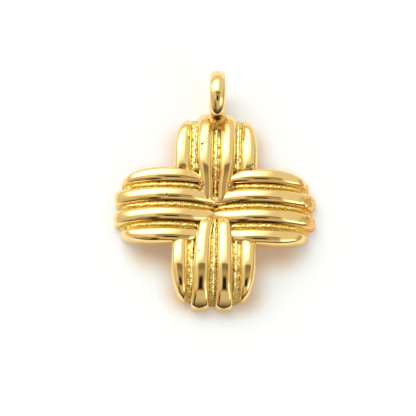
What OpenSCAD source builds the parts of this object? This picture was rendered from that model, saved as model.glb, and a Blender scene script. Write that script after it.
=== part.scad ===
// Ribbed cross pendant: two arched bridges of four round ribs cross over each other,
// and a round bail stands edge-on at the top, soldered into the middle groove.
// The pendant lies on its hollow back: +Z is the front, +Y runs towards the bail.

/* [Cross] */
// Width over the two side arms
cross_w = 26.5; // [25:0.5:30]
// Height over the upper and lower arms, without the bail
cross_h = 27.2; // [26:0.1:30]
// Height of the rib crests over the table
crest_z = 4.2; // [3.8:0.1:5]
// Thickness of the casting, from rib crest to hollow back
wall_t = 2.0; // [1.7:0.1:2.4]

/* [Side arms] */
// Distance from the centre to the crest of the arch
side_crest = 5.9; // [5:0.1:7]
// Radius of the arch along the arm
side_arch_r = 11.7; // [10.5:0.1:14]
// Spacing of the ribs
side_pitch = 2.76; // [2.6:0.02:3]

/* [Upright arms] */
// Distance from the centre to the crest of the arch
upright_crest = 7.2; // [6.5:0.1:8]
// Radius of the arch along the arm
upright_arch_r = 10.0; // [9.5:0.1:13]
// Spacing of the ribs
upright_pitch = 2.87; // [2.7:0.01:3]

/* [Ribs] */
// Radius of a rib's round top
rib_r = 1.15; // [1.05:0.05:1.25]
// Depth of the grooves under the rib crests
groove_d = 0.95; // [0.7:0.05:1.1]
// Half width of a rib at the groove floor
rib_foot = 1.0; // [0.98:0.02:1.1]
// Height of the thin ridge in each groove
ridge_h = 0.36; // [0.2:0.02:0.5]
// Width of the thin ridge in each groove
ridge_w = 0.4; // [0.3:0.02:0.5]
// Radius of the slight doming across an arm
dome_r = 38; // [30:1:60]

/* [Bail] */
// Outer radius of the bail
bail_r = 3.7; // [3.4:0.1:4.2]
// Thickness of the bail's metal, from the hole to the outside
bail_t = 2.0; // [1.7:0.1:2.2]
// Width of the bail
bail_w = 2.0; // [1.8:0.1:2.4]
// Radius of the bail's rounded edges
bail_edge = 0.4; // [0.3:0.05:0.6]
// Distance from the centre of the cross to the centre of the bail
bail_reach = 14.95; // [14.6:0.05:15.4]

/* [Hidden] */
$fn = 64;

// The origin lies under the middle of the whole pendant, bail included.
cross_y = (cross_h / 2 - bail_reach - bail_r) / 2;

// Columns of a rib's row: its place across the arm in pitches, its length as a share of the
// arm, the share where its outer side starts to curve in to the tip, how far its round top
// runs down the outer side, and the distances from the centre of the cross between which
// its outer side curves in again and would close
PLACE = 0;
SHARE = 1;
TAPER = 2;
ROUND_TO = 3;
WAIST_FROM = 4;
WAIST_TO = 5;
shoulder = 56;
side_ribs = [
    [0.5, 1.00, 1.00, shoulder, 3.0, -1.2],
    [1.5, 0.93, 0.57, 90, 4.6, 1.1],
];
upright_ribs = [
    [0.5, 1.00, 1.00, shoulder, 4.9, 1.7],
    [1.5, 0.93, 0.57, 90, 4.6, 1.1],
];
taper_power = 0.65;
least_share = 0.08;

// Columns of an arm's row
REACH = 0;
CREST = 1;
ARCH_R = 2;
PITCH = 3;
RIBS = 4;
side_arm = [cross_w / 2, side_crest, side_arch_r, side_pitch, side_ribs];
upright_arm = [cross_h / 2, upright_crest, upright_arch_r, upright_pitch, upright_ribs];

// The thin ridges: place across the arm in pitches, and length as a share of the arm
RIDGES = [[-1, 0.88], [0, 0.94], [1, 0.88]];
core_share = 0.96;
core_margin = 0.5;
rib_end = 1.3;
core_end = 1.5;
arch_steps = 10;
round_steps = 6;
END_ANGLES = [20, 40, 58, 74];
sunk = 0.2;

// Drop of an arch below its crest, at a distance from the centre of the cross
function arch_drop(arm, s) =
    arm[ARCH_R] - sqrt(pow(arm[ARCH_R], 2) - pow(abs(s) - arm[CREST], 2));

// Height of the rib crests over the table
function crest_height(arm, s, across) =
    crest_z - arch_drop(arm, s) - across * across / (2 * dome_r);

// Stations from tip to tip: distance from the centre, and the share of the section left
function half_stations(reach, end) = concat(
    [for (k = [1:arch_steps]) [k * (reach - end) / arch_steps, 1]],
    [for (a = END_ANGLES) [reach - end + end * sin(a), cos(a)]]);
function mirrored(half) = concat(
    [for (k = [len(half) - 1:-1:0]) [-half[k][0], half[k][1]]], [[0, 1]], half);
function stations(reach, end) = mirrored(half_stations(reach, end));

// Share of a rib's width left towards the tip, and towards the centre of the cross
function tip_share(arm, row, s) =
    let (from = arm[REACH] * row[TAPER], past = (abs(s) - from) / (arm[REACH] * row[SHARE] - from))
    row[TAPER] == 1 || past <= 0 ? 1 : pow(max(0, 1 - past * past), taper_power);
function waist_share(row, s) =
    let (past = max(0, row[WAIST_FROM] - abs(s)) / (row[WAIST_FROM] - row[WAIST_TO]))
    max(least_share, pow(max(0, 1 - past * past), taper_power));

// A rib's outline: sideways place, and depth under its crest
function rib_outline(row) = concat(
    [[-rib_foot, groove_d]],
    [for (k = [0:round_steps]) let (a = -shoulder + k * (row[ROUND_TO] + shoulder) / round_steps)
        [rib_r * sin(a), rib_r * (1 - cos(a))]],
    row[ROUND_TO] == 90 ? [] : [[rib_foot, groove_d]]);

// A ring of points across a rib, closed along the table. The rib's inner edge stays
// straight, and its outer side curves in.
function rib_ring(arm, row, s, left) =
    let (share = tip_share(arm, row, s) * waist_share(row, s),
         mid = row[PLACE] * arm[PITCH] - rib_foot * (1 - share),
         top = crest_height(arm, s, mid),
         width = share * pow(left, 0.7),
         outline = rib_outline(row),
         last = outline[len(outline) - 1])
    concat(
        [[s, mid + outline[0].x * width, 0]],
        [for (p = outline) [s, mid + p.x * width, (top - p.y) * left]],
        [[s, mid + last.x * width, 0]]);

// A ring across the body under the ribs, whose top is the groove floor
function core_ring(arm, s, left) =
    let (outer_rib = arm[RIBS][1],
         half = outer_rib[PLACE] * arm[PITCH] - rib_foot
             + (rib_foot + core_margin) * tip_share(arm, outer_rib, s),
         width = half * pow(left, 0.6))
    concat(
        [[s, -width, 0]],
        [for (t = [-1:0.5:1]) [s, t * width, (crest_height(arm, s, t * half) - groove_d) * left]],
        [[s, width, 0]]);

// A ring across the thin ridge in a groove
function ridge_ring(arm, row, s, left) =
    let (mid = row[PLACE] * arm[PITCH],
         floor_z = (crest_height(arm, s, mid) - groove_d) * left)
    [[s, mid - ridge_w / 2, floor_z - sunk * left],
     [s, mid - ridge_w / 4, floor_z + ridge_h * left],
     [s, mid + ridge_w / 4, floor_z + ridge_h * left],
     [s, mid + ridge_w / 2, floor_z - sunk * left]];

// Joins equal rings of points into one closed solid.
module sweep(rings) {
    m = len(rings[0]);
    n = len(rings);
    polyhedron(
        points = [for (ring = rings) each ring],
        faces = concat(
            [[for (i = [m - 1:-1:0]) i]],
            [for (j = [0:n - 2]) for (i = [0:m - 1]) let (k = (i + 1) % m)
                [j * m + i, j * m + k, (j + 1) * m + k, (j + 1) * m + i]],
            [[for (i = [0:m - 1]) (n - 1) * m + i]]));
}

// Four ribs over a plain core, with a thin ridge in each groove
module bridge(arm) {
    for (side = [0, 1])
        mirror([0, side, 0])
            for (row = arm[RIBS])
                sweep([for (q = stations(arm[REACH] * row[SHARE], rib_end))
                    rib_ring(arm, row, q[0], q[1])]);
    for (row = RIDGES)
        sweep([for (q = stations(arm[REACH] * row[SHARE], core_end))
            ridge_ring(arm, row, q[0], q[1])]);
    sweep([for (q = stations(arm[REACH] * core_share, core_end))
        core_ring(arm, q[0], q[1])]);
}

// The space under an arched bridge, which the hollow back leaves open
module hollow(arm) {
    rise = crest_z - wall_t;
    end = arm[CREST] + sqrt(pow(arm[ARCH_R], 2) - pow(arm[ARCH_R] - rise, 2));
    half = arm[PITCH] * arm[RIBS][1][PLACE] + rib_r + sunk;
    steps = 2 * arch_steps;
    rotate([90, 0, 0])
        linear_extrude(2 * half, center = true)
            polygon(concat(
                [[-end, -1]],
                [for (k = [0:steps]) let (s = end * (2 * k / steps - 1))
                    [s, rise - arch_drop(arm, s)]],
                [[end, -1]]));
}

// The cast cross: the side arms' bridge lies over the upright one where it is higher.
module cross() {
    translate([0, cross_y, 0])
        resize([cross_w, cross_h, crest_z])
            difference() {
                union() {
                    bridge(side_arm);
                    rotate(90) bridge(upright_arm);
                }
                hollow(side_arm);
                rotate(90) hollow(upright_arm);
            }
}

// The bail: a ring with rounded edges and a slightly crowned outside. Its hole is a true
// cylinder along X.
module bail() {
    crown_r = 1.9;
    inner_r = bail_r - bail_t;
    translate([0, cross_y + bail_reach, bail_r])
        rotate([0, 90, 0])
            rotate_extrude()
                intersection() {
                    union() {
                        translate([inner_r, -bail_w / 2 + bail_edge])
                            square([bail_t, bail_w - 2 * bail_edge]);
                        translate([inner_r + bail_edge, -bail_w / 2])
                            square([bail_t - 2 * bail_edge, bail_w]);
                        for (x = [inner_r + bail_edge, bail_r - bail_edge])
                            for (y = [-1, 1])
                                translate([x, y * (bail_w / 2 - bail_edge)])
                                    circle(bail_edge);
                    }
                    translate([bail_r - crown_r, 0]) circle(crown_r);
                }
}

module cross_with_bail() color("gold") {
    cross();
    bail();
}

cross_with_bail();
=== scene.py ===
# Ribbed cross pendant in polished and cast gold, lying on its hollow back.
# The dictionaries hold millimetres and degrees; the finished meshes are in metres.
import math

import bpy
from mathutils import Matrix, Vector, noise


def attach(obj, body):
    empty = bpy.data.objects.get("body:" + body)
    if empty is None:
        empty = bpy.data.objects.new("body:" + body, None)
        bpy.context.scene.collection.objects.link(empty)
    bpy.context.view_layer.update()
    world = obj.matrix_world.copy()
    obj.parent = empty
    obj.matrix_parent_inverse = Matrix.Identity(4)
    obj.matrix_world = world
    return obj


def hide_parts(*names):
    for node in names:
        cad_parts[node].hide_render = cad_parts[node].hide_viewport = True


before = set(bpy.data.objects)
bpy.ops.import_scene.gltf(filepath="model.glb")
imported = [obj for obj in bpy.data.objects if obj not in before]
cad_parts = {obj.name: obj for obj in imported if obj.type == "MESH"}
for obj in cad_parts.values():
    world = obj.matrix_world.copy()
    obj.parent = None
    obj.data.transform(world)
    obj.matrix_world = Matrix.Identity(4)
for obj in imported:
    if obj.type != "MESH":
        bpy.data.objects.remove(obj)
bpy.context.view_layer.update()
mm = 0.001
print("frame loaded")


# Shader maths

class Wire:
    # a socket that takes part in sums: each sum adds its Math node

    def __init__(self, bench, socket):
        self.bench = bench
        self.socket = socket

    def __add__(self, other):
        return self.bench.sum("ADD", self, other)

    def __radd__(self, other):
        return self.bench.sum("ADD", other, self)

    def __sub__(self, other):
        return self.bench.sum("SUBTRACT", self, other)

    def __rsub__(self, other):
        return self.bench.sum("SUBTRACT", other, self)

    def __mul__(self, other):
        return self.bench.sum("MULTIPLY", self, other)

    def __rmul__(self, other):
        return self.bench.sum("MULTIPLY", other, self)

    def __pow__(self, other):
        return self.bench.sum("POWER", self, other)

    def __rpow__(self, other):
        return self.bench.sum("POWER", other, self)

    def __abs__(self):
        return self.bench.sum("ABSOLUTE", self)


class Bench:
    # lays out the nodes of one material or of the world

    def __init__(self, tree):
        self.tree = tree
        tree.nodes.clear()

    def add(self, kind, settings=None, values=None, out=0):
        node = self.tree.nodes.new("ShaderNode" + kind)
        for key, value in (settings or {}).items():
            setattr(node, key, value)
        for key, value in (values or {}).items():
            if isinstance(value, Wire):
                self.tree.links.new(value.socket, node.inputs[key])
            else:
                node.inputs[key].default_value = value
        return Wire(self, node.outputs[out]) if len(node.outputs) else node

    def sum(self, kind, *terms):
        return self.add("Math", {"operation": kind}, dict(enumerate(terms)))

    def vector(self, kind, *terms, out=0):
        return self.add("VectorMath", {"operation": kind}, dict(enumerate(terms)), out)

    def mix(self, share, first, second):
        return self.add("Mix", {"data_type": "RGBA"}, {0: share, 6: first, 7: second}, 2)

    def least(self, first, second):
        return self.sum("MINIMUM", first, second)

    def most(self, first, second):
        return self.sum("MAXIMUM", first, second)

    def fade(self, value, start, end):
        # 0 up to start, 1 from end on, smooth between
        return self.add("MapRange", {"interpolation_type": "SMOOTHSTEP"},
                        {"Value": value, "From Min": start, "From Max": end})

    def grain(self, place, scale, detail=2.0, rough=0.5):
        return self.add("TexNoise", {}, {"Vector": place, "Scale": scale, "Detail": detail,
                                         "Roughness": rough})

    def place(self):
        # place on the piece, in millimetres
        return self.vector("MULTIPLY", self.add("TexCoord", out=3), (1000, 1000, 1000))

    def axes(self, place):
        apart = self.add("SeparateXYZ", {}, {0: place}).socket.node.outputs
        return [Wire(self, axis) for axis in apart]

    def away(self, place, spot):
        return self.vector("DISTANCE", place, spot, out=1)


# What all the meshes need

def held(value):
    # kept between 0 and 1
    return min(1.0, max(0.0, value))


def newPiece(name, points, faces):
    mesh = bpy.data.meshes.new(name)
    mesh.from_pydata(points, [], faces)
    piece = bpy.data.objects.new(name, mesh)
    bpy.context.scene.collection.objects.link(piece)
    return piece


def smooth(piece, angle):
    piece.data.shade_smooth()
    piece.data.set_sharp_from_angle(angle=math.radians(angle))


# The cross: two arched bridges of four ribs each, with rough cast grooves between them

crossCast = {
    "width": 26.5,
    "height": 27.2,
    "crest": 4.2,             # rib crests over the table
    "wall": 2.0,              # from rib crest to hollow back
    "centreY": -2.525,        # middle of the cross, in the middle of the whole pendant
    "doming": 38.0,           # radius of the slight curve across an arm
    "grooveDepth": 0.95,
    "sunk": 0.2,              # how far one solid goes into the next
    "lastStation": (0.0005, 0.003),  # the section that closes an end: its distance before the
                              # tip, and the share of the section left
    "endPower": 0.6,          # how a width runs out towards an end
    "sharpFrom": 40,          # edges sharper than this stay sharp
    "endFacing": 0.9995,      # faces that look this straight along their arm are flat

    "ribFoot": 1.0,           # half width at the groove floor
    "ribOut": 1.15,           # how far an outer rib reaches outwards
    "ribSquareness": 2.5,     # of its section: 2 is an ellipse
    "ribDepth": 1.05,
    "ribSteps": 28,
    "ribStations": (0.2, 14),  # spacing of the sections, and how many round off a tip
    "taperPower": 0.65,
    "leastShare": 0.08,
    "bluntShare": 0.3,        # share of an outer rib's width left at its tip
    "endBlend": 3.0,          # length over which a rib's low end turns into its high one
    "flatLength": 2.4,
    "leanFrom": 4.0,
    "gatherFrom": (4.6, 2.4),  # distance from the centre, and the length that it takes
    "thinShare": 0.35,        # a rib sinks where less of its width is left
    "thinSink": 1.7,
    "leastRib": 0.03,         # a rib's least height over the table
    "knobsFrom": (11.4, 0.8),  # distance from the centre, and the length that it takes
    "knobGrain": (1.5, 1.9, 5),  # along a rib, across it, and from rib to rib
    "knobFine": (2.2, 0.3),   # how much finer a second grain is, and its share
    "uprightFootShade": 4,        # strips of painted shade at either foot of an upright rib
    "sideFootShade": (4, 7),      # and of a rib on the side arms: the first, and where they end

    "coreShare": 0.96,
    "coreMargin": 0.5,
    "coreSteps": 60,
    "coreStations": (0.16, 10),
    "leastCore": 0.05,
    "grain": 0.085,           # height of the cast grain in the grooves
    "coarseGrain": (1.6, 0.9),  # its lumps in a millimetre, and their share
    "fineGrain": (4.2, 0.8),

    "ridges": [(-1, 0.88), (0, 0.94), (1, 0.88)],  # place in pitches, and share of the length
    "ridgeHeight": 0.46,
    "ridgeWidth": 0.4,
    "ridgeStations": (0.14, 8),
    "ridgeSway": (0.1, 1.3, 3.1),    # how much it sways, and how fast along it and from
    "ridgeUneven": (0.3, 2.4, 5.7),  # ridge to ridge; and the same for its height
    "ridgeFloor": 0.3,        # the lowest groove floor that a ridge stands on
    "ridgeProfile": [(-1, 0), (-0.86, 0.7), (-0.6, 0.95), (0, 1),
                     (0.6, 0.95), (0.86, 0.7), (1, 0)],

    "hollowSteps": 120,
    "hollowFoot": -1.0,       # the tool that hollows the back starts under the table
}


# Each rib has a low end (left or lower arm) and a high end. Of an end, half says how far it
# reaches to its inner and outer side; waist holds the distances from the centre between which
# its outer side curves in, and the share of its width left there; nose is the length and the
# depth of the rounding down at its tip; tip is the length that the tip's outline is rounded
# over; flat is how much flatter the tip gets across; lean moves the rib outwards near the
# centre and at its tip; gather draws it inwards near the centre.

def ribEnd(half, waist, nose, tip, flat=0.0, lean=(0.0, 0.0), gather=0.0):
    return {"half": half, "waist": waist, "nose": nose, "tip": tip, "flat": flat, "lean": lean,
            "gather": gather}


sideArm = {
    "upright": False,
    "reach": (13.25, 13.25),
    "crestAt": 5.9,
    "archRadius": 11.7,
    "inner": None,
    "pitch": 2.76,
    "knobs": 0.08,             # unevenness of the rib ends at the right
    "coreEnds": (1.2, 1.5),
    "coreSeed": 4.0,
    "ridgeSeed": 9.0,
    "footShadeReach": 12.4,         # how far out the painted shade at the feet of the ribs goes
    "endFaces": 12.0,          # and where the flat ends of the ribs are
    "ribs": [
        {"place": 0.5, "side": 1, "share": 1.00, "taper": 1.00,
         "low": ribEnd(half=(1.05, 1.05), waist=(3.0, -1.2, 0), nose=(1.2, 0.2), tip=0.45),
         "high": ribEnd(half=(1.05, 1.05), waist=(3.0, -1.2, 0), nose=(1.5, 0.5), tip=1.05)},
        {"place": 0.5, "side": -1, "share": 1.00, "taper": 1.00,
         "low": ribEnd(half=(1.05, 1.05), waist=(3.0, -1.2, 0), nose=(1.2, 0.2), tip=0.45),
         "high": ribEnd(half=(1.05, 1.05), waist=(3.0, -1.2, 0), nose=(1.5, 0.5), tip=1.05)},
        {"place": 1.5, "side": 1, "share": 0.93, "taper": 0.57,
         "low": ribEnd(half=(1.05, 1.15), waist=(4.6, 1.1, 0), nose=(1.6, 0.7), tip=0.8),
         "high": ribEnd(half=(1.05, 1.15), waist=(4.6, 1.1, 0), nose=(1.8, 0.8), tip=0.9)},
        {"place": 1.5, "side": -1, "share": 0.93, "taper": 0.57,
         "low": ribEnd(half=(1.05, 1.15), waist=(3.9, 0.7, 0), nose=(1.6, 0.7), tip=0.8),
         "high": ribEnd(half=(1.05, 1.15), waist=(3.9, 0.7, 0), nose=(1.8, 0.8), tip=0.9)},
    ],
}

uprightArm = {
    "upright": True,
    "reach": (13.7, 13.5),
    "crestAt": 7.2,
    "archRadius": 11.0,
    # its gentler way down from the crest to the middle: steepest slope, and the length that
    # it takes to reach it; then it dips, and outside its inner ribs it lies under the side
    # arms: how far under, from where across and up to where along, each with the length that
    # the change takes
    "inner": {"slope": 0.235, "length": 3.4, "dip": 1.6, "dipFrom": (2.8, 1.1),
              "under": 1.0, "beside": (1.9, 0.6), "upTo": (5.0, 0.7)},
    "pitch": 2.87,
    "knobs": 0.0,
    "coreEnds": (1.2, 1.2),
    "coreSeed": 11.0,
    "ridgeSeed": 2.0,
    "footShadeReach": 12.6,
    "endFaces": 12.5,
    "ribs": [
        {"place": 0.5, "side": 1, "share": 1.00, "taper": 1.00,
         "low": ribEnd(half=(1.2, 1.18), waist=(8.6, 2.6, 0.9), nose=(2.5, 0.38), tip=0.42,
                       flat=2.1, lean=(0.08, 0.28), gather=0.2),
         "high": ribEnd(half=(1.12, 1.12), waist=(6.8, 3.0, 0.8), nose=(2.2, 0.5), tip=1.5,
                        gather=0.1)},
        {"place": 0.5, "side": -1, "share": 1.00, "taper": 1.00,
         "low": ribEnd(half=(1.12, 1.15), waist=(8.6, 2.6, 0.92), nose=(2.5, 0.38), tip=0.42,
                       flat=2.1, gather=0.05),
         "high": ribEnd(half=(1.02, 1.2), waist=(6.8, 3.0, 0.8), nose=(2.2, 0.5), tip=1.5,
                        gather=0.2)},
        {"place": 1.5, "side": 1, "share": 0.93, "taper": 0.57,
         "low": ribEnd(half=(1.05, 1.15), waist=(5.6, 4.6, 0), nose=(2.4, 0.7), tip=0.9,
                       lean=(0.2, 0.1)),
         "high": ribEnd(half=(1.28, 1.1), waist=(4.6, 1.1, 0), nose=(2.2, 0.8), tip=1.1,
                        lean=(0.18, 0.1))},
        {"place": 1.5, "side": -1, "share": 0.93, "taper": 0.57,
         "low": ribEnd(half=(1.05, 1.12), waist=(5.6, 4.6, 0), nose=(2.4, 0.7), tip=0.9,
                       lean=(0.14, 0.1)),
         "high": ribEnd(half=(1.1, 1.15), waist=(4.6, 1.1, 0), nose=(2.2, 0.8), tip=1.1)},
    ],
}

polished, rough, back, footShade, bright = range(5)  # the casting's material slots


def archDrop(arm, s):
    past = abs(s) - arm["crestAt"]
    if past > 0 or not arm["inner"]:
        return arm["archRadius"] - math.sqrt(max(0.0, arm["archRadius"] ** 2 - past ** 2))
    inner = arm["inner"]
    curved = min(-past, inner["length"])
    drop = inner["slope"] * (curved * curved / (2 * inner["length"]) - past - curved)
    return drop + inner["dip"] * max(0.0, 1 - abs(s) / inner["dipFrom"][s > 0]) ** 2


def crestHeight(arm, s, across):
    height = crossCast["crest"] - archDrop(arm, s) - across * across / (2 * crossCast["doming"])
    inner = arm["inner"]
    if inner:
        begin, over = inner["beside"]
        end, before = inner["upTo"]
        beside = held((abs(across) - begin) / over)
        height -= inner["under"] * beside * held((end - abs(s)) / before)
    return height


def stations(reaches, ends, spacing, turn):
    # distance from the centre, and the share of the section left there
    closing, least = crossCast["lastStation"]
    halves = []
    for reach, end in zip(reaches, ends):
        count = round((reach - end) / spacing)
        half = [(k * (reach - end) / count, 1.0) for k in range(1, count + 1)]
        for k in range(1, turn):
            angle = math.radians(90 * k / turn)
            half.append((reach - end + end * math.sin(angle), math.cos(angle)))
        half.append((reach - closing, least))
        halves.append(half)
    return [(-s, left) for s, left in reversed(halves[0])] + [(0.0, 1.0)] + halves[1]


def tipShare(arm, rib, s):
    reach = arm["reach"][s > 0]
    start = reach * rib["taper"]
    past = (abs(s) - start) / (reach * rib["share"] - start) if rib["taper"] < 1 else 0
    if past <= 0:
        return 1.0
    blunt = crossCast["bluntShare"]
    return blunt + (1 - blunt) * max(0.0, 1 - past * past) ** crossCast["taperPower"]


def waistShare(waist, s):
    begin, end, least = waist
    past = held((begin - abs(s)) / (begin - end))
    if least > 0:
        return 1 - (1 - least) * past * past * (3 - 2 * past)
    return max(crossCast["leastShare"], (1 - past * past) ** crossCast["taperPower"])


def noseDrop(nose, toTip):
    length, depth = nose
    return depth * max(0.0, 1 - toTip / length) ** 3


def ribOutline(inner, outer, squareness):
    # sideways place, and depth under the crest: a flat-topped oval with tight shoulders
    steps = crossCast["ribSteps"]
    power = 2 / squareness
    points = []
    for k in range(steps + 1):
        angle = math.pi * k / steps
        across = math.cos(angle)
        side = -inner if across > 0 else outer
        points.append((side * abs(across) ** power,
                       crossCast["ribDepth"] * (1 - math.sin(angle) ** power)))
    return points


def ribMiddle(arm, rib, end, s, reach, share):
    # how far the middle of a rib lies from the middle of its arm
    mid = rib["place"] * arm["pitch"] - crossCast["ribFoot"] * (1 - share)
    leanIn, leanOut = end["lean"]
    outward = held((abs(s) - crossCast["leanFrom"]) / (reach - crossCast["leanFrom"]))
    mid += leanIn + (leanOut - leanIn) * outward
    begin, over = crossCast["gatherFrom"]
    gather = held((begin - abs(s)) / over)
    return mid - end["gather"] * gather * gather * (3 - 2 * gather)


def knobGrow(arm, rib, s, across):
    # the uneven rib ends at the right
    begin, over = crossCast["knobsFrom"]
    lump = arm["knobs"] * held((s - begin) / over)
    along, aside, apart = crossCast["knobGrain"]
    finer, share = crossCast["knobFine"]
    place = Vector((s * along, across * aside + apart * rib["place"], rib["side"]))
    return 1 + lump * noise.noise(place) + share * lump * noise.noise(place * finer)


def ribRings(arm, rib):
    rings = []
    reaches = [reach * rib["share"] for reach in arm["reach"]]
    ends = (rib["low"], rib["high"])
    for s, left in stations(reaches, [end["tip"] for end in ends], *crossCast["ribStations"]):
        end = ends[s > 0]
        reach = reaches[s > 0]
        toTip = reach - abs(s)
        far = held(0.5 + s / crossCast["endBlend"])
        inner, outer = (low * (1 - far) + high * far for low, high in
                        zip(ends[0]["half"], ends[1]["half"]))
        flatter = end["flat"] * max(0.0, 1 - toTip / crossCast["flatLength"])
        outline = ribOutline(inner, outer, crossCast["ribSquareness"] + flatter)
        waist = waistShare(end["waist"], s)
        share = tipShare(arm, rib, s) * waist
        mid = ribMiddle(arm, rib, end, s, reach, share)
        width = share * left ** crossCast["endPower"]
        # where a rib has run out it sinks into the casting
        sink = crossCast["thinSink"] * max(0.0, 1 - waist / crossCast["thinShare"])
        top = crestHeight(arm, s, mid) - noseDrop(end["nose"], toTip) - sink
        ring = []
        for across, down in outline:
            grow = knobGrow(arm, rib, s, across)
            height = max(crossCast["leastRib"], top * grow - down)
            ring.append((s, mid + across * width * grow, height))
        ring = [(s, ring[0][1], 0.0)] + ring + [(s, ring[-1][1], 0.0)]
        if rib["side"] < 0:
            ring = [(s, -y, z) for s, y, z in reversed(ring)]
        rings.append(ring)
    return rings


def ribFootShade(arm, rib, rings):
    # which faces of a rib get painted shade, as the number of a ring and of a strip: on the side
    # arms only those that face away from the bail and the lamp
    last = crossCast["ribSteps"] + 1
    feet = crossCast["uprightFootShade"]
    outerLow = rib["side"] < 0 and rib["place"] > 1
    outerHigh = rib["side"] > 0 and rib["place"] > 1
    strips = []
    if arm["upright"]:
        strips += [] if outerLow else range(feet)
        strips += [] if outerHigh else range(last - feet + 1, last + 1)
    elif not outerLow:
        strips += range(*crossCast["sideFootShade"])
    near = [j for j, ring in enumerate(rings) if abs(ring[0][0]) < arm["footShadeReach"]]
    return {(j, i) for j in near for i in strips}


def castHeight(s, y, seed):
    # the lumps and pits of the unpolished casting
    coarse, coarseShare = crossCast["coarseGrain"]
    fine, fineShare = crossCast["fineGrain"]
    lump = coarseShare * noise.noise(Vector((s * coarse, y * coarse, seed)))
    return crossCast["grain"] * (
        lump + fineShare * noise.noise(Vector((s * fine, y * fine, seed + 7.3))))


def coreRings(arm):
    # the body under the ribs, whose top is the floor of the grooves
    rings = []
    outer = arm["ribs"][2]
    edge = outer["place"] * arm["pitch"] - crossCast["ribFoot"]
    reaches = [reach * crossCast["coreShare"] for reach in arm["reach"]]
    steps = crossCast["coreSteps"]
    for s, left in stations(reaches, arm["coreEnds"], *crossCast["coreStations"]):
        half = edge + (crossCast["ribFoot"] + crossCast["coreMargin"]) * tipShare(arm, outer, s)
        width = half * left ** crossCast["endPower"]
        ring = [(s, -width, 0.0)]
        for k in range(steps + 1):
            t = 2 * k / steps - 1
            floor = crestHeight(arm, s, t * half) - crossCast["grooveDepth"]
            height = (floor + castHeight(s, t * width, arm["coreSeed"])) * left
            ring.append((s, t * width, max(crossCast["leastCore"], height)))
        ring.append((s, width, 0.0))
        rings.append(ring)
    return rings


def ridgeRings(arm, place, share):
    # the thin raised line in a groove
    rings = []
    reaches = [reach * share for reach in arm["reach"]]
    seed = arm["ridgeSeed"]
    half = crossCast["ridgeWidth"] / 2
    most, slow, between = crossCast["ridgeSway"]
    uneven, along, apart = crossCast["ridgeUneven"]
    for s, left in stations(reaches, arm["coreEnds"], *crossCast["ridgeStations"]):
        sway = most * noise.noise(Vector((s * slow, place * between, seed)))
        mid = place * arm["pitch"] + sway
        grow = 1 + uneven * noise.noise(Vector((s * along, place * apart, seed + 3)))
        floor = crestHeight(arm, s, mid) - crossCast["grooveDepth"]
        floor = max(crossCast["ridgeFloor"], floor) * left
        top = floor + crossCast["ridgeHeight"] * left * grow
        low = floor - crossCast["sunk"] * left
        rings.append([(s, mid + half * t, low + (top - low) * lift)
                      for t, lift in crossCast["ridgeProfile"]])
    return rings


def hollowRings(arm):
    # the space under a bridge
    rise = crossCast["crest"] - crossCast["wall"]
    radius = arm["archRadius"]
    foot = crossCast["hollowFoot"]
    steps = crossCast["hollowSteps"]
    end = arm["crestAt"] + math.sqrt(radius ** 2 - (radius - rise) ** 2)
    half = arm["pitch"] * arm["ribs"][2]["place"] + crossCast["ribOut"] + crossCast["sunk"]
    profile = [(-end, foot)]
    for k in range(steps + 1):
        s = end * (2 * k / steps - 1)
        profile.append((s, rise - archDrop(arm, s)))
    profile.append((end, foot))
    return [[(s, y, z) for s, z in profile] for y in (half, -half)]


def sweep(name, arm, rings, finish, dark=()):
    # joins equal rings of points into one closed solid, along its arm
    if arm["upright"]:
        rings = [[(-y, s, z) for s, y, z in ring] for ring in rings]
    size = len(rings[0])
    points = [point for ring in rings for point in ring]
    faces = []
    finishes = []
    for j in range(len(rings) - 1):
        for i in range(size):
            k = (i + 1) % size
            faces.append((j * size + i, (j + 1) * size + i, (j + 1) * size + k, j * size + k))
            # faces listed in dark get the painted shade of the rib feet
            finishes.append(footShade if (j, i) in dark else finish)
    faces.append(list(range(size)))
    faces.append([(len(rings) - 1) * size + i for i in reversed(range(size))])
    piece = newPiece(name, points, faces)
    for face, slot in zip(piece.data.polygons, finishes + [finish, finish]):
        face.material_index = slot
    return piece


def cut(body, tool, how):
    change = body.modifiers.new(how, "BOOLEAN")
    change.operation = how
    change.solver = "MANIFOLD"
    change.object = tool
    bpy.context.view_layer.update()
    shape = bpy.context.evaluated_depsgraph_get()
    mesh = bpy.data.meshes.new_from_object(body.evaluated_get(shape))
    body.modifiers.clear()
    old = body.data
    body.data = mesh
    bpy.data.meshes.remove(old)
    bpy.data.objects.remove(tool)


def makeCross():
    cross = None
    for arm in (sideArm, uprightArm):
        parts = [(coreRings(arm), rough, ())]
        for rib in arm["ribs"]:
            rings = ribRings(arm, rib)
            parts.append((rings, polished, ribFootShade(arm, rib, rings)))
        for place, share in crossCast["ridges"]:
            parts.append((ridgeRings(arm, place, share), bright, ()))
        for rings, finish, dark in parts:
            solid = sweep("castCross", arm, rings, finish, dark)
            if cross is None:
                cross = solid
            else:
                cut(cross, solid, "UNION")
    for arm in (sideArm, uprightArm):
        cut(cross, sweep("hollow", arm, hollowRings(arm), back), "DIFFERENCE")
    return cross


def fitTo(piece, width, height, depth):
    # stretches the casting to its exact size and moves it to its place, in metres
    points = [v.co for v in piece.data.vertices]
    wide = max(p.x for p in points) - min(p.x for p in points)
    high = max(p.y for p in points) - min(p.y for p in points)
    deep = max(p.z for p in points)
    size = Matrix.Diagonal((width / wide, height / high, depth / deep, 1.0))
    shift = Matrix.Translation((0.0, crossCast["centreY"], 0.0))
    piece.data.transform(Matrix.Scale(mm, 4) @ shift @ size)


def flattenEnds(piece):
    # the ribs end in flat faces, without the soft shading of the rest
    straight = crossCast["endFacing"]
    for face in piece.data.polygons:
        out = face.center / mm - Vector((0.0, crossCast["centreY"], 0.0))
        if abs(out.y) > uprightArm["endFaces"] and abs(face.normal.y) > straight:
            face.use_smooth = False
        if abs(out.x) > sideArm["endFaces"] and abs(face.normal.x) > straight:
            face.use_smooth = False


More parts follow.
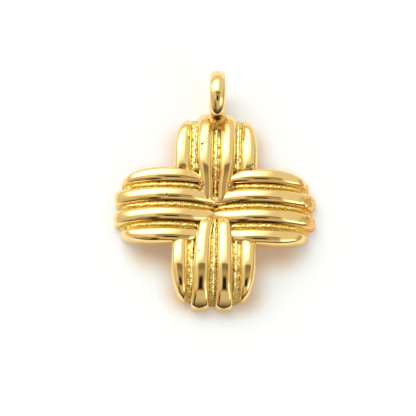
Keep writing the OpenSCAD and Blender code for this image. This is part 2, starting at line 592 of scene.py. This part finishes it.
castCross = makeCross()
fitTo(castCross, crossCast["width"], crossCast["height"], crossCast["crest"])
smooth(castCross, crossCast["sharpFrom"])
flattenEnds(castCross)
print("cross cast:", len(castCross.data.polygons), "faces")


# The bail: a ring on edge, rounded over its outside, and filed narrower towards its foot

bail = {
    "radius": 3.7,
    "hole": 1.7,
    "width": 2.1,
    "crown": 1.45,            # radius of the outside's curve across
    "crownShare": 0.74,       # how far it reaches over the half width
    "shoulderTurn": 66,       # the tighter curve beside it: its turn, and how far it reaches
    "shoulderDrop": 0.42,     # inwards and sideways
    "shoulderShare": 0.26,
    "edge": 0.45,             # rounding at the hole
    "away": 14.95,            # from the middle of the cross to the middle of the bail
    "footWidth": 0.86,        # share of the width left at the foot
    "footPower": 1.5,         # how late it narrows on its way down
    "footFrom": 0.5,          # distance from the hole where it is narrowed in full
    "steps": 8,
    "turns": 128,
    "sharpFrom": 50,
}


def bailSection():
    # distance from the middle of the bail, and sideways place
    half = bail["width"] / 2
    edge = bail["edge"]
    steps = bail["steps"]
    centre = bail["radius"] - bail["crown"]
    side = []
    for k in range(steps + 1):
        x = bail["crownShare"] * half * k / steps
        side.append((centre + math.sqrt(bail["crown"] ** 2 - x * x), x))
    crownEnd = side[-1][0]
    turn = math.radians(bail["shoulderTurn"])
    for k in range(1, steps + 1):
        angle = math.radians(bail["shoulderTurn"] - k * bail["shoulderTurn"] / steps)
        down = bail["shoulderDrop"] * (1 - math.sin(angle) / math.sin(turn))
        short = half * bail["shoulderShare"] * (1 - math.cos(angle)) / (1 - math.cos(turn))
        side.append((crownEnd - down, half - short))
    shoulderEnd = side[-1][0]
    low = bail["hole"] + edge
    for k in range(1, 5):
        side.append((shoulderEnd + (low - shoulderEnd) * k / 4, half))
    for k in range(1, 7):
        angle = math.radians(90 * k / 6)
        side.append((low - edge * math.sin(angle), half - edge * (1 - math.cos(angle))))
    side += [(bail["hole"], (half - edge) * (1 - k / 3)) for k in range(1, 4)]
    return side + [(r, -x) for r, x in reversed(side[1:-1])]


def makeBail():
    section = bailSection()
    turns = bail["turns"]
    middle = crossCast["centreY"] + bail["away"]
    points = []
    for j in range(turns):
        angle = 2 * math.pi * j / turns
        toFoot = max(0.0, -math.cos(angle)) ** bail["footPower"]
        for r, x in section:
            full = min(1.0, (r - bail["hole"]) / bail["footFrom"])
            narrow = 1 - (1 - bail["footWidth"]) * toFoot * full
            points.append((x * narrow * mm, (middle + r * math.cos(angle)) * mm,
                           (bail["radius"] + r * math.sin(angle)) * mm))
    size = len(section)
    faces = []
    for j in range(turns):
        for i in range(size):
            k = (i + 1) % size
            n = (j + 1) % turns
            faces.append((j * size + i, j * size + k, n * size + k, n * size + i))
    piece = newPiece("bail", points, faces)
    smooth(piece, bail["sharpFrom"])
    return piece


bailRing = makeBail()
print("bail made")


# Lumps left by casting and soldering: place, and how far each reaches along x, y and z

lumps = {
    "solder": [(-0.95, 9.75, 3.1, 0.5, 0.5, 0.5), (0.95, 9.7, 3.1, 0.5, 0.5, 0.5),
               (0.0, 9.0, 2.3, 0.6, 0.6, 0.7), (-0.55, 8.75, 2.75, 0.4, 0.4, 0.45),
               (0.5, 8.6, 2.7, 0.4, 0.45, 0.45), (0.05, 8.25, 2.2, 0.45, 0.5, 0.6)],
    "middle": [(-0.5, -2.35, 1.9, 0.5, 0.36, 0.42), (0.7, -2.35, 1.9, 0.5, 0.36, 0.42),
               (0.1, -1.95, 2.0, 0.4, 0.3, 0.36), (0.1, -2.8, 1.85, 0.4, 0.3, 0.4)],
    "corners": [(-1.72, 0.5, 3.3, 0.5, 0.5, 0.42), (-1.95, 0.05, 3.05, 0.42, 0.38, 0.4),
                (1.88, 0.5, 3.3, 0.48, 0.5, 0.42), (2.15, 0.05, 3.05, 0.44, 0.38, 0.4),
                (2.7, -7.1, 3.0, 0.35, 0.35, 0.35), (-2.85, -7.1, 3.0, 0.35, 0.35, 0.35)],
    "roughness": 0.3,
    "coarse": (2.1, 3.0),     # bumps round a lump, and how much they change from lump to lump
    "fine": (4.6, 2.0),
    "fineShare": 0.5,
    "least": 0.05,            # their least height over the table
    "around": 28,
    "up": 14,
    "sharpFrom": 60,
}


def lumpPoints(x, y, z, wide, long, high):
    coarse, coarseShift = lumps["coarse"]
    fine, fineShift = lumps["fine"]
    points = []
    for j in range(lumps["up"] + 1):
        lift = math.pi * (j / lumps["up"] - 0.5)
        for i in range(lumps["around"]):
            turn = 2 * math.pi * i / lumps["around"]
            way = Vector((math.cos(turn) * math.cos(lift), math.sin(turn) * math.cos(lift),
                          math.sin(lift)))
            bump = noise.noise(way * coarse + Vector((x, y, z)) * coarseShift)
            bump += lumps["fineShare"] * noise.noise(way * fine + Vector((y, x, z)) * fineShift)
            grow = 1 + lumps["roughness"] * bump
            points.append(((x + way.x * wide * grow) * mm, (y + way.y * long * grow) * mm,
                           max(lumps["least"], z + way.z * high * grow) * mm))
    return points


def makeLumps():
    points = []
    faces = []
    around = lumps["around"]
    for lump in lumps["solder"] + lumps["middle"] + lumps["corners"]:
        first = len(points)
        points += lumpPoints(*lump)
        for j in range(lumps["up"]):
            for i in range(around):
                k = (i + 1) % around
                faces.append((first + j * around + i, first + j * around + k,
                              first + (j + 1) * around + k, first + (j + 1) * around + i))
    piece = newPiece("castLumps", points, faces)
    smooth(piece, lumps["sharpFrom"])
    return piece


castLumps = makeLumps()
print("lumps made")


# Gold finishes

goldLook = {
    # polished ribs and bail
    "tint": (1.0, 0.745, 0.315, 1.0),
    "pale": (1.0, 0.77, 0.355, 1.0),
    "gloss": 0.045,
    "wave": 0.010,            # depth of the slow waves that polishing leaves
    "nickRim": 0.35,          # share of a nick's radius that is deep
    # painted shade inside the nicks and in the pit at the middle of the cross
    "recessShade": (0.16, 0.09, 0.03, 1.0),
    "nicks": [(-1.91, 5.76, 0.2), (-1.7, 5.9, 0.14), (-1.89, 5.04, 0.13),  # place and radius
              (-1.97, -9.15, 0.14), (-6.4, -1.55, 0.26), (-6.15, -1.72, 0.15),
              (1.95, -1.8, 0.15), (2.45, -1.75, 0.13), (2.9, -1.72, 0.12), (4.6, 2.9, 0.2),
              (4.85, 3.15, 0.16), (4.3, 2.6, 0.14), (2.23, -1.97, 0.14), (12.07, -4.79, 0.16)],
    "creviceShade": (0.12, 0.06, 0.02, 1.0),  # painted shade of the crevice in front of the bail's foot
    "creviceShadeAt": (0.05, 9.1, 5.15),
    "creviceShadeReach": (0.3, 0.8),
    "raw": (1.0, 0.6, 0.2, 1.0),       # unpolished rib ends at the right
    "rawFrom": (12.0, 12.5),
    # flanks of the ribs where the solder ran: aside, along and up
    "solderRun": {"aside": (1.35, 1.05), "from": (7.9, 8.5), "to": (10.6, 10.0),
                  "under": (4.6, 4.1)},
    # rough grooves on the upright and the side arms, and towards their ends; the side-arm grooves
    # are painted a little darker, as the shade that their ribs cast
    "groove": (0.95, 0.75, 0.26, 1.0),
    "sideGroove": (0.87, 0.65, 0.17, 1.0),
    "endGroove": (0.42, 0.24, 0.06, 1.0),
    "sideEnd": (1.0, 0.62, 0.2, 1.0),
    "grooveEnds": (10.4, 12.2),
    "leftGrooves": 0.85,      # share of its distance that counts on the left arm
    "streak": (1.0, 0.92, 0.42, 1.0),
    "pit": (0.42, 0.24, 0.06, 1.0),
    "castGrain": 0.18,
    "smoothUpper": (2.6, 4.0),      # the upper arm came out of the mould smoother than the
    "roughTip": (-12.0, -14.2),     # others, and the lower tip rougher
    # raised lines in the grooves, painted paler than the grooves, partly as the highlight that they
    # catch
    "ridge": (1.0, 0.93, 0.52, 1.0),
    "sideRidge": (1.0, 0.88, 0.36, 1.0),
    "ridgeGrain": 0.22,
    # painted shade at the feet of the ribs: near black on the side arms, patchy brown on the upright
    # arms
    "footShade": (0.08, 0.04, 0.01, 1.0),
    "footShadePale": (0.5, 0.36, 0.12, 1.0),
    "footShadeEnds": (7.6, 10.8),
    "footShadeGrain": 0.02,
    # the middle, where the four bridges run together, and the groove over it
    "star": (0.95, 0.57, 0.17, 1.0),
    "starAt": (0.1, -2.34, 2.2),
    "starReach": (0.7, 1.3),
    "pitReach": (0.14, 0.3),
    "topGroove": (0.8, 0.52, 0.18, 1.0),
    "topGrooveAt": (0.0, 0.9, 2.9),
    "topGrooveReach": (0.9, 3.6),
    # where a place lies over the side arms: how far from the middle, along and across
    "sideBand": (5.1, 4.7),
    "besideUpright": (4.6, 5.2),
    "besideMiddle": (1.2, 1.6),
    "uprightLonger": 1.2,     # how much later the upright arms count as ended
    # lumps, paler at the bail than at the centre
    "solder": (1.0, 0.74, 0.3, 1.0),
    "solderFrom": (4.0, 5.0),
    "solderGrain": 0.3,
    # the hollow back
    "deep": (0.98, 0.74, 0.34, 1.0),
    "backGrain": 0.03,
}


def newMaterial(name):
    material = bpy.data.materials.new(name)
    material.use_nodes = True
    return material, Bench(material.node_tree)


def finishMetal(bench, tint, gloss, height, depth):
    normal = bench.add("Bump", {}, {"Distance": depth * mm, "Height": height})
    shader = bench.add("BsdfPrincipled", {}, {"Base Color": tint, "Metallic": 1.0,
                                              "Roughness": gloss, "Normal": normal})
    bench.add("OutputMaterial", {}, {"Surface": shader})


def polishedGold():
    material, bench = newMaterial("polishedGold")
    place = bench.place()
    x, y, z = bench.axes(place)
    flat = bench.vector("MULTIPLY", place, (1, 1, 0))
    wave = bench.grain(place, 0.55, 1.0)
    fine = bench.grain(place, 5.0, 3.0)
    worn = bench.grain(place, 0.9, 3.0)
    speckle = bench.grain(place, 2.6, 2.0)
    nick = 0.0
    for across, along, radius in goldLook["nicks"]:
        away = bench.away(flat, (across, along, 0))
        nick = nick + (1 - bench.fade(away, radius * goldLook["nickRim"], radius))
    tint = bench.mix(bench.fade(worn, 0.35, 0.7), goldLook["tint"], goldLook["pale"])
    # the nicks are dented by the bump and painted dark inside, as shade
    tint = bench.mix(bench.least(nick, 1.0), tint, goldLook["recessShade"])
    # painted shade in the crevice in front of the bail's foot
    away = bench.away(place, goldLook["creviceShadeAt"])
    inCreviceShade = 1 - bench.fade(away, *goldLook["creviceShadeReach"])
    tint = bench.mix(inCreviceShade, tint, goldLook["creviceShade"])
    unpolished = bench.fade(x + 0.5 * worn, *goldLook["rawFrom"])
    raw = bench.mix(bench.fade(speckle, 0.3, 0.48), goldLook["pit"], goldLook["raw"])
    tint = bench.mix(0.9 * unpolished, tint, raw)
    run = goldLook["solderRun"]
    soldered = bench.fade(abs(x), *run["aside"]) * bench.fade(y + 1.2 * speckle, *run["from"])
    soldered = soldered * bench.fade(y, *run["to"]) * bench.fade(z, *run["under"])
    tint = bench.mix(0.4 * soldered, tint, goldLook["solder"])
    gloss = goldLook["gloss"] + 0.05 * bench.fade(fine, 0.45, 0.75) + 0.4 * nick
    gloss = gloss + 0.28 * unpolished + 0.25 * soldered
    height = wave + 0.04 * fine - 9.0 * nick + 1.4 * unpolished * worn
    height = height + (4.0 * soldered + 3.2 * unpolished) * speckle
    finishMetal(bench, tint, gloss, height, goldLook["wave"])
    return material


def armPlace(bench, ends, left):
    # place in millimetres, and how far it lies over the side arms and past an arm's end
    place = bench.place()
    x, y = bench.axes(place)[:2]
    y = abs(y - crossCast["centreY"])
    inSide = bench.fade(y, *goldLook["sideBand"])
    onSide = bench.most(bench.fade(abs(x), *goldLook["besideUpright"]),
                        bench.fade(abs(x), *goldLook["besideMiddle"]) * inSide)
    out = bench.most(bench.most(x, -left * x), y - goldLook["uprightLonger"])
    return place, onSide, bench.fade(out, *ends)


def castDepth(bench, place):
    y = bench.axes(place)[1]
    return (1 - 0.7 * bench.fade(y, *goldLook["smoothUpper"])
            + 1.2 * bench.fade(y, *goldLook["roughTip"]))


def middlePit(bench, away, tint):
    # paints shade into the pit at the middle of the cross
    return bench.mix(1 - bench.fade(away, *goldLook["pitReach"]), tint, goldLook["recessShade"])


def centreTint(bench, place, tint, uneven):
    # a rough orange star with a pit painted dark as shade, under an orange groove
    fromGroove = bench.away(place, goldLook["topGrooveAt"])
    near = 1 - bench.fade(fromGroove, *goldLook["topGrooveReach"])
    tint = bench.mix(0.75 * near, tint, goldLook["topGroove"])
    away = bench.away(place, goldLook["starAt"])
    onStar = 1 - bench.fade(away + 0.5 * uneven, *goldLook["starReach"])
    return middlePit(bench, away, bench.mix(onStar, tint, goldLook["star"]))


def castGold():
    material, bench = newMaterial("castGold")
    place, onSide, atEnd = armPlace(bench, goldLook["grooveEnds"], goldLook["leftGrooves"])
    # the tool marks run along each arm
    along = bench.mix(onSide, bench.vector("MULTIPLY", place, (1, 0.25, 1)),
                      bench.vector("MULTIPLY", place, (0.25, 1, 1)))
    streaks = bench.grain(along, 3.4, 3.0, 0.6)
    pits = bench.grain(place, 3.4, 2.0, 0.6)
    # the side-arm grooves are painted a little darker than the upright's, as shade
    tint = bench.mix(onSide, goldLook["groove"], goldLook["sideGroove"])
    tint = bench.mix(bench.fade(streaks, 0.5, 0.62), tint, goldLook["streak"])
    tint = bench.mix(bench.fade(pits, 0.58, 0.66), tint, goldLook["pit"])
    end = bench.mix(onSide, goldLook["endGroove"], goldLook["sideEnd"])
    tint = bench.mix(0.75 * atEnd, centreTint(bench, place, tint, pits), end)
    gloss = 0.22 + 0.22 * bench.fade(pits, 0.3, 0.7)
    height = (streaks + 0.35 * pits) * castDepth(bench, place)
    finishMetal(bench, tint, gloss, height, goldLook["castGrain"])
    return material


def footShadeGold():
    # paints shade at the feet of the ribs: near black on the side arms, fading to gold towards their
    # ends, and patchy brown on the upright arms
    material, bench = newMaterial("footShadeGold")
    place, onSide, atEnd = armPlace(bench, goldLook["footShadeEnds"], 1.0)
    patchy = bench.grain(place, 2.2, 2.0)
    pale = bench.mix(bench.fade(patchy, 0.5, 0.7), goldLook["footShadePale"], goldLook["groove"])
    dark = bench.mix(atEnd, goldLook["footShade"], goldLook["tint"])
    tint = bench.mix(onSide, pale, dark)
    finishMetal(bench, tint, 0.1 + 0.25 * patchy, patchy, goldLook["footShadeGrain"])
    return material


def ridgeGold():
    material, bench = newMaterial("ridgeGold")
    place, onSide, atEnd = armPlace(bench, goldLook["grooveEnds"], goldLook["leftGrooves"])
    knots = bench.grain(place, 2.4, 3.0, 0.6)
    # the ridges are painted paler than the grooves, partly as the highlight that they catch
    tint = bench.mix(onSide, goldLook["ridge"], goldLook["sideRidge"])
    tint = bench.mix(bench.fade(knots, 0.54, 0.66), tint, goldLook["groove"])
    end = bench.mix(onSide, goldLook["endGroove"], goldLook["sideEnd"])
    tint = bench.mix(0.6 * atEnd, centreTint(bench, place, tint, knots), end)
    gloss = 0.25 + 0.2 * bench.fade(knots, 0.35, 0.65)
    height = knots * castDepth(bench, place)
    finishMetal(bench, tint, gloss, height, goldLook["ridgeGrain"])
    return material


def solderGold():
    material, bench = newMaterial("solderGold")
    place = bench.place()
    knots = bench.grain(place, 3.0, 3.0, 0.65)
    atBail = bench.fade(bench.axes(place)[1], *goldLook["solderFrom"])
    clean = bench.fade(knots + 0.16 * atBail, 0.42, 0.62)
    tint = bench.mix(clean, goldLook["pit"], goldLook["solder"])
    tint = middlePit(bench, bench.away(place, goldLook["starAt"]), tint)
    gloss = 0.16 + 0.3 * bench.fade(knots, 0.4, 0.7)
    finishMetal(bench, tint, gloss, knots, goldLook["solderGrain"])
    return material


def backGold():
    material, bench = newMaterial("backGold")
    place = bench.place()
    slow = bench.grain(place, 1.1, 2.0)
    pits = bench.grain(place, 5.0, 3.0, 0.6)
    tint = bench.mix(bench.fade(slow, 0.35, 0.7), goldLook["tint"], goldLook["deep"])
    gloss = 0.2 + 0.16 * bench.fade(pits, 0.35, 0.7)
    finishMetal(bench, tint, gloss, slow + 0.25 * pits, goldLook["backGrain"])
    return material


finishes = [polishedGold(), castGold(), backGold(), footShadeGold(), ridgeGold()]
slots = castCross.data.materials
for k, finish in enumerate(finishes):
    if k < len(slots):
        slots[k] = finish
    else:
        slots.append(finish)
bailRing.data.materials.append(finishes[polished])
castLumps.data.materials.append(solderGold())
for piece in (castCross, bailRing, castLumps):
    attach(piece, "root")
    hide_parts("cross_with_bail")
print("gold finishes made")


# The room: one large soft light behind the pendant on the left, a small one in front on the
# right, and a dim brown stand round the camera

room = {
    "walls": (0.78, 0.73, 0.62),
    "floor": (0.87, 0.92, 1.0),
    "floorHalf": 1.6,         # metres
    "lift": (0.82, 0.92, 1.0),
    "glow": (1.0, -0.5, 4.4),  # strength of the painted warm shadow on the floor, and its reach
    "paintedShadowTint": (0.78, 0.5, 0.08),
    # where the painted shadow lies: under the two bars of the cross, smaller and shifted away from
    # the bail; half width, middle and half height
    "underGold": [(8.6, -3.4, 4.2), (3.6, -3.4, 10.2)],
}

# Each light or dark patch of the room: its colour, and the four edges where it fades in and
# out, in degrees from upright, towards the bail and to the right
patches = [
    {"colour": (0.68, 0.57, 0.44), "toward": (-130, -110, -14, 10), "aside": (-120, -110, -46, -32)},
    {"colour": (0.54, 0.43, 0.29), "toward": (-200, -190, 190, 200), "aside": (46, 60, 90, 99)},
    {"colour": (0.74, 0.62, 0.45), "toward": (-200, -190, 190, 200), "aside": (-99, -90, -76, -62)},
    {"colour": (0.82, 0.71, 0.53), "toward": (68, 82, 190, 200), "aside": (-99, -90, 90, 99)},
    {"colour": (2.0, 1.95, 1.8), "toward": (-60, -50, -30, -14), "aside": (27, 33, 46, 62)},
    {"colour": (0.34, 0.27, 0.16), "toward": (-66, -56, -34, -22), "aside": (-44, -34, -14, -8)},
    {"colour": (0.68, 0.57, 0.43), "toward": (-64, -50, -34, -30), "aside": (-20, -14, 24, 28)},
    {"colour": (0.46, 0.37, 0.22), "toward": (-34, -30, 6, 9), "aside": (-22, -13, 25, 30)},
    {"colour": (0.26, 0.2, 0.12), "toward": (-7, 3, 6, 9), "aside": (-22, -13, 25, 30)},
    {"colour": (0.02, 0.015, 0.008), "toward": (-35, -27, -14, -7), "aside": (-11, -5, 8, 14)},
    {"colour": (0.06, 0.04, 0.02), "toward": (-90, -80, -48, -34), "aside": (-24, -19, -13, -8)},
    {"colour": (0.08, 0.055, 0.03), "toward": (-110, -95, -82, -48), "aside": (-54, -40, 46, 60)},
    {"colour": (3.3, 3.25, 3.1), "toward": (6, 28, 50, 71), "aside": (-60, -38, -16, 18)},
]


def buildRoom():
    world = bpy.data.worlds.new("room")
    world.use_nodes = True
    bpy.context.scene.world = world
    bench = Bench(world.node_tree)
    x, y, z = bench.axes(bench.add("TexCoord", out=0))
    degree = 180 / math.pi
    toward = bench.sum("ARCTAN2", y, z) * degree
    aside = bench.sum("ARCSINE", x) * degree
    light = room["walls"] + (1.0,)
    for patch in patches:
        low, lowIn, highIn, high = patch["toward"]
        left, leftIn, rightIn, right = patch["aside"]
        share = (bench.fade(toward, low, lowIn) * bench.fade(toward, high, highIn)
                 * bench.fade(aside, left, leftIn) * bench.fade(aside, right, rightIn))
        light = bench.mix(share, light, patch["colour"] + (1.0,))
    glow = bench.add("Background", {}, {"Color": light, "Strength": 1.0})
    plain = bench.add("Background", {}, {"Color": (1, 1, 1, 1), "Strength": 1.0})
    seen = bench.add("LightPath", out=0)
    mixed = bench.add("MixShader", {}, {0: seen, 1: glow, 2: plain})
    bench.add("OutputWorld", {}, {"Surface": mixed})


def buildFloor():
    half = room["floorHalf"]
    corners = [(-half, -half, 0), (half, -half, 0), (half, half, 0), (-half, half, 0)]
    floor = newPiece("floor", corners, [(0, 1, 2, 3)])
    material, bench = newMaterial("paleFloor")
    x, y = bench.axes(bench.place())[:2]
    # painted warm shadow on the white near the cross, coloured like light bounced off the gold, most
    # in its corners
    most, near, far = room["glow"]
    share = 0.0
    for halfWide, middle, halfHigh in room["underGold"]:
        wide = bench.most(abs(x) - halfWide, 0.0)
        high = bench.most(abs(y - middle) - halfHigh, 0.0)
        share = share + most * (1 - bench.fade((wide * wide + high * high) ** 0.5, near, far))
    colour = bench.mix(bench.least(share, 1.0), room["floor"] + (1.0,),
                       room["paintedShadowTint"] + (1.0,))
    shader = bench.add("BsdfPrincipled", {}, {
        "Base Color": colour, "Roughness": 0.9, "Specular IOR Level": 0.1,
        "Emission Color": room["lift"] + (1.0,), "Emission Strength": 0.2})
    bench.add("OutputMaterial", {}, {"Surface": shader})
    floor.data.materials.append(material)


buildRoom()
buildFloor()
print("room made")


# The camera, as the photograph saw the pendant

shot = {
    "tilt": 20.0,             # degrees off the vertical
    "roll": 1.35,             # the pendant is turned clockwise by this
    "distance": 500.0,
    "picture": 416,           # pixels along a side
    "pixel": 0.132,           # size of a pixel at the pendant
    "middle": (214.8, 213.9),  # where the middle of the cross lies in the picture
    "sensor": 36,
    "clip": (0.01, 10),       # metres
}


def placeCamera():
    lens = bpy.data.cameras.new("camera")
    camera = bpy.data.objects.new("camera", lens)
    bpy.context.scene.collection.objects.link(camera)
    tilt = math.radians(shot["tilt"])
    roll = math.radians(shot["roll"])
    out = Vector((0, -math.sin(tilt), math.cos(tilt)))
    right = Vector((1, 0, 0))
    up = Vector((0, math.cos(tilt), math.sin(tilt)))
    across = right * math.cos(roll) + up * math.sin(roll)
    above = up * math.cos(roll) - right * math.sin(roll)
    aim = Vector((0, crossCast["centreY"], 0))
    aim -= across * (shot["middle"][0] - shot["picture"] / 2) * shot["pixel"]
    aim += above * (shot["middle"][1] - shot["picture"] / 2) * shot["pixel"]
    place = (aim + out * shot["distance"]) * mm
    camera.matrix_world = Matrix((
        (across.x, above.x, out.x, place.x), (across.y, above.y, out.y, place.y),
        (across.z, above.z, out.z, place.z), (0, 0, 0, 1)))
    lens.sensor_width = shot["sensor"]
    lens.lens = shot["sensor"] * shot["distance"] / (shot["picture"] * shot["pixel"])
    lens.clip_start, lens.clip_end = shot["clip"]
    bpy.context.scene.camera = camera


placeCamera()
bpy.context.scene.view_settings.view_transform = "Standard"
print("camera placed")
